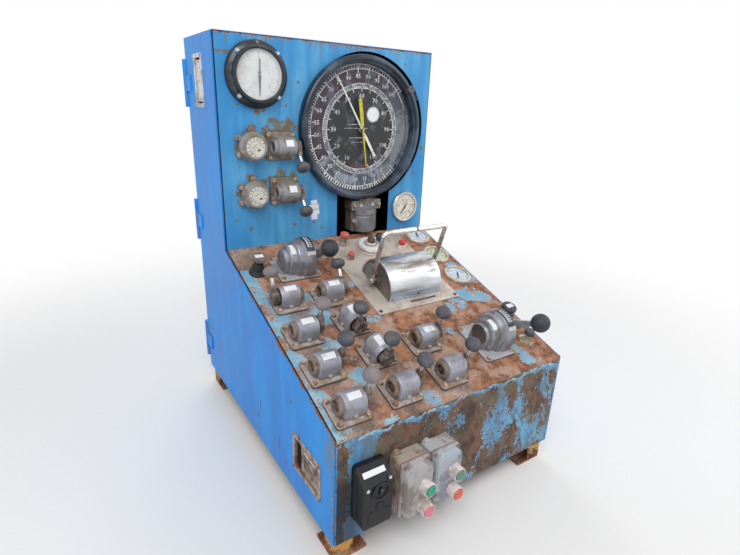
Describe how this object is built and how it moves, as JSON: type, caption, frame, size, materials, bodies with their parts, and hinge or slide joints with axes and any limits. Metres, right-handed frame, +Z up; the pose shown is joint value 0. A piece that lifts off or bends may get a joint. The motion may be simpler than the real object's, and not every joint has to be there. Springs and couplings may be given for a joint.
{
  "type": "drilling rig driller's control console",
  "caption": "Driller's control console: sheet-steel cabinet with an upright gauge panel, a sloping desk of lever valves, twin levers over a hood, button stations and a side door.",
  "frame": {"origin": "on the floor, at the middle of the four foot bolts", "axes": "+Z up; -Y towards the driller who stands in front of the desk; +X to the driller's right, away from the side door"},
  "size_m": [0.758, 1.0705, 1.195],
  "materials": {
    "side_blue": "weathered gloss paint",
    "panel_blue": "weathered gloss paint with rust at the edges",
    "desk_rust": "rusted through its paint",
    "front_rust": "half rusted paint",
    "frame_rust": "rusty",
    "feet_paint": "worn paint",
    "indicator_case": "dark satin",
    "indicator_hands": "matt",
    "damper_cast": "dusty casting",
    "gauge_case": "satin",
    "gauge_rings": "dull bright rings",
    "regulator_cast": "rusty",
    "panel_valve_cast": "dull",
    "desk_valve_cast": "dull",
    "controller_cast": "dull",
    "plate_aluminium": "satin",
    "hood_bright": "brushed",
    "twin_bright": "polished",
    "rotary_cast": "satin",
    "rotary_black": "gloss",
    "lever_dark": "dull, with a dark knob",
    "knob_base_dark": "dusty",
    "knob_black": "dusty",
    "button_base": "satin",
    "button_red": "faded",
    "station_black": "satin",
    "station_grey": "dull",
    "cap_green": "faded",
    "cap_red": "faded",
    "latch_zinc": "dull zinc"
  },
  "bodies": {
    "console": {"base_frame": "frame_rust", "stub_feet": "feet_paint", "right_side": "side_blue", "back_panel": "side_blue", "roof": "side_blue", "instrument_panel": "panel_blue", "desk_plate": "desk_rust", "front_wall": "front_rust", "door_frame": "side_blue", "hinge_pins": "side_blue", "weight_indicator": "indicator_case", "indicator_pointers": "indicator_hands", "damper": "damper_cast", "pressure_gauge": "gauge_case", "small_gauges": "gauge_rings", "regulators": "regulator_cast", "panel_valve_bodies": "panel_valve_cast", "desk_valve_bodies": "desk_valve_cast", "dome_controllers": "controller_cast", "control_plate": "plate_aluminium", "lever_hood": "hood_bright", "rotary_base": "rotary_cast", "knob_bases": "knob_base_dark", "button_bases": "button_base", "black_station": "station_black", "grey_stations": "station_grey"},
    "door": {"side_door": "side_blue", "latch_dishes": "latch_zinc"},
    "upper_paddle": {"upper_paddle": "latch_zinc"},
    "lower_paddle": {"lower_paddle": "latch_zinc"},
    "desk_lever_1": {"desk_lever_1": "lever_dark"},
    "desk_lever_2": {"desk_lever_2": "lever_dark"},
    "desk_lever_3": {"desk_lever_3": "lever_dark"},
    "desk_lever_4": {"desk_lever_4": "lever_dark"},
    "desk_lever_5": {"desk_lever_5": "lever_dark"},
    "desk_lever_6": {"desk_lever_6": "lever_dark"},
    "desk_lever_7": {"desk_lever_7": "lever_dark"},
    "desk_lever_8": {"desk_lever_8": "lever_dark"},
    "desk_lever_9": {"desk_lever_9": "lever_dark"},
    "desk_lever_10": {"desk_lever_10": "lever_dark"},
    "panel_lever_1": {"panel_lever_1": "lever_dark"},
    "panel_lever_2": {"panel_lever_2": "lever_dark"},
    "dome_lever_1": {"dome_lever_1": "lever_dark"},
    "dome_lever_2": {"dome_lever_2": "lever_dark"},
    "twin_lever_left": {"twin_lever_left": "twin_bright"},
    "twin_lever_right": {"twin_lever_right": "twin_bright"},
    "rotary_lever": {"rotary_lever": "rotary_black"},
    "pull_knob_1": {"pull_knob_1": "knob_black"},
    "pull_knob_2": {"pull_knob_2": "knob_black"},
    "pull_knob_3": {"pull_knob_3": "knob_black"},
    "desk_button_1": {"desk_button_1": "button_red"},
    "desk_button_2": {"desk_button_2": "button_red"},
    "desk_button_3": {"desk_button_3": "button_red"},
    "left_start_button": {"left_start_button": "cap_green"},
    "left_stop_button": {"left_stop_button": "cap_red"},
    "right_start_button": {"right_start_button": "cap_green"},
    "right_stop_button": {"right_stop_button": "cap_red"},
    "station_selector": {"station_selector": "station_black"}
  },
  "joints": [
    {"name": "door_turn", "type": "hinge", "parent": "console", "child": "door", "pos_m": [-0.375, 0.489, 0.6], "axis": [0, 0, -1], "range_deg": [0, 110]},
    {"name": "upper_paddle_turn", "type": "hinge", "parent": "door", "child": "upper_paddle", "pos_m": [-0.369, 0.34, 1.124], "axis": [0, 1, 0], "range_deg": [0, 60]},
    {"name": "lower_paddle_turn", "type": "hinge", "parent": "door", "child": "lower_paddle", "pos_m": [-0.369, -0.3995, 0.197], "axis": [0, 0, 1], "range_deg": [0, 45]},
    {"name": "desk_lever_1_turn", "type": "hinge", "parent": "console", "child": "desk_lever_1", "pos_m": [-0.289, -0.07185, 0.52946], "axis": [1, 0, 0], "range_deg": [0, 66]},
    {"name": "desk_lever_2_turn", "type": "hinge", "parent": "console", "child": "desk_lever_2", "pos_m": [-0.167, -0.08224, 0.52586], "axis": [1, 0, 0], "range_deg": [0, 78]},
    {"name": "desk_lever_3_turn", "type": "hinge", "parent": "console", "child": "desk_lever_3", "pos_m": [-0.305, -0.19561, 0.48651], "axis": [1, 0, 0], "range_deg": [-30, 30]},
    {"name": "desk_lever_4_turn", "type": "hinge", "parent": "console", "child": "desk_lever_4", "pos_m": [-0.162, -0.19467, 0.48684], "axis": [0, -0.9447, -0.3279], "range_deg": [-40, 20]},
    {"name": "desk_lever_5_turn", "type": "hinge", "parent": "console", "child": "desk_lever_5", "pos_m": [-0.154, -0.31181, 0.44618], "axis": [0, -0.9447, -0.3279], "range_deg": [-34, 26]},
    {"name": "desk_lever_6_turn", "type": "hinge", "parent": "console", "child": "desk_lever_6", "pos_m": [-0.309, -0.3137, 0.44553], "axis": [1, 0, 0], "range_deg": [-33, 27]},
    {"name": "desk_lever_7_turn", "type": "hinge", "parent": "console", "child": "desk_lever_7", "pos_m": [-0.309, -0.4299, 0.4052], "axis": [1, 0, 0], "range_deg": [-29, 31]},
    {"name": "desk_lever_8_turn", "type": "hinge", "parent": "console", "child": "desk_lever_8", "pos_m": [-0.161, -0.42896, 0.40553], "axis": [1, 0, 0], "range_deg": [-33, 27]},
    {"name": "desk_lever_9_turn", "type": "hinge", "parent": "console", "child": "desk_lever_9", "pos_m": [-0.008, -0.31465, 0.4452], "axis": [1, 0, 0], "range_deg": [-30, 30]},
    {"name": "desk_lever_10_turn", "type": "hinge", "parent": "console", "child": "desk_lever_10", "pos_m": [-0.008, -0.42707, 0.40619], "axis": [1, 0, 0], "range_deg": [-34, 26]},
    {"name": "panel_lever_1_turn", "type": "hinge", "parent": "console", "child": "panel_lever_1", "pos_m": [-0.188, 0.169, 0.896], "axis": [1, 0, 0], "range_deg": [-74, 0]},
    {"name": "panel_lever_2_turn", "type": "hinge", "parent": "console", "child": "panel_lever_2", "pos_m": [-0.18, 0.169, 0.762], "axis": [1, 0, 0], "range_deg": [-74, 0]},
    {"name": "dome_lever_1_turn", "type": "hinge", "parent": "console", "child": "dome_lever_1", "pos_m": [-0.205, 0.06058, 0.58707], "axis": [1, 0, 0], "range_deg": [-60, 0]},
    {"name": "dome_lever_2_turn", "type": "hinge", "parent": "console", "child": "dome_lever_2", "pos_m": [0.187, -0.37305, 0.43658], "axis": [1, 0, 0], "range_deg": [-60, 0]},
    {"name": "twin_lever_left_turn", "type": "hinge", "parent": "console", "child": "twin_lever_left", "pos_m": [0.09, -0.07879, 0.52812], "axis": [1, 0, 0], "range_deg": [-35, 35]},
    {"name": "twin_lever_right_turn", "type": "hinge", "parent": "console", "child": "twin_lever_right", "pos_m": [0.09, -0.07879, 0.52812], "axis": [1, 0, 0], "range_deg": [-35, 35]},
    {"name": "rotary_lever_turn", "type": "hinge", "parent": "console", "child": "rotary_lever", "pos_m": [0.085, 0.10705, 0.56298], "axis": [0, -0.3279, 0.9447], "range_deg": [-60, 60]},
    {"name": "pull_knob_1_slide", "type": "slide", "parent": "console", "child": "pull_knob_1", "axis": [0, -0.3279, 0.9447], "range_m": [0, 0.012]},
    {"name": "pull_knob_2_slide", "type": "slide", "parent": "console", "child": "pull_knob_2", "axis": [0, -0.3279, 0.9447], "range_m": [0, 0.012]},
    {"name": "pull_knob_3_slide", "type": "slide", "parent": "console", "child": "pull_knob_3", "axis": [0, -0.3279, 0.9447], "range_m": [0, 0.012]},
    {"name": "desk_button_1_slide", "type": "slide", "parent": "console", "child": "desk_button_1", "axis": [0, -0.3279, 0.9447], "range_m": [-0.003, 0], "stiffness_N_per_m": 800, "springref_m": 0.002},
    {"name": "desk_button_2_slide", "type": "slide", "parent": "console", "child": "desk_button_2", "axis": [0, -0.3279, 0.9447], "range_m": [-0.003, 0], "stiffness_N_per_m": 800, "springref_m": 0.002},
    {"name": "desk_button_3_slide", "type": "slide", "parent": "console", "child": "desk_button_3", "axis": [0, -0.3279, 0.9447], "range_m": [-0.003, 0], "stiffness_N_per_m": 800, "springref_m": 0.002},
    {"name": "left_start_button_slide", "type": "slide", "parent": "console", "child": "left_start_button", "axis": [0, -1, 0], "range_m": [-0.003, 0], "stiffness_N_per_m": 800, "springref_m": 0.002},
    {"name": "left_stop_button_slide", "type": "slide", "parent": "console", "child": "left_stop_button", "axis": [0, -1, 0], "range_m": [-0.003, 0], "stiffness_N_per_m": 800, "springref_m": 0.002},
    {"name": "right_start_button_slide", "type": "slide", "parent": "console", "child": "right_start_button", "axis": [0, -1, 0], "range_m": [-0.003, 0], "stiffness_N_per_m": 800, "springref_m": 0.002},
    {"name": "right_stop_button_slide", "type": "slide", "parent": "console", "child": "right_stop_button", "axis": [0, -1, 0], "range_m": [-0.003, 0], "stiffness_N_per_m": 800, "springref_m": 0.002},
    {"name": "station_selector_turn", "type": "hinge", "parent": "console", "child": "station_selector", "pos_m": [-0.284, -0.525, 0.225], "axis": [0, -1, 0], "range_deg": [-45, 45]}
  ]
}
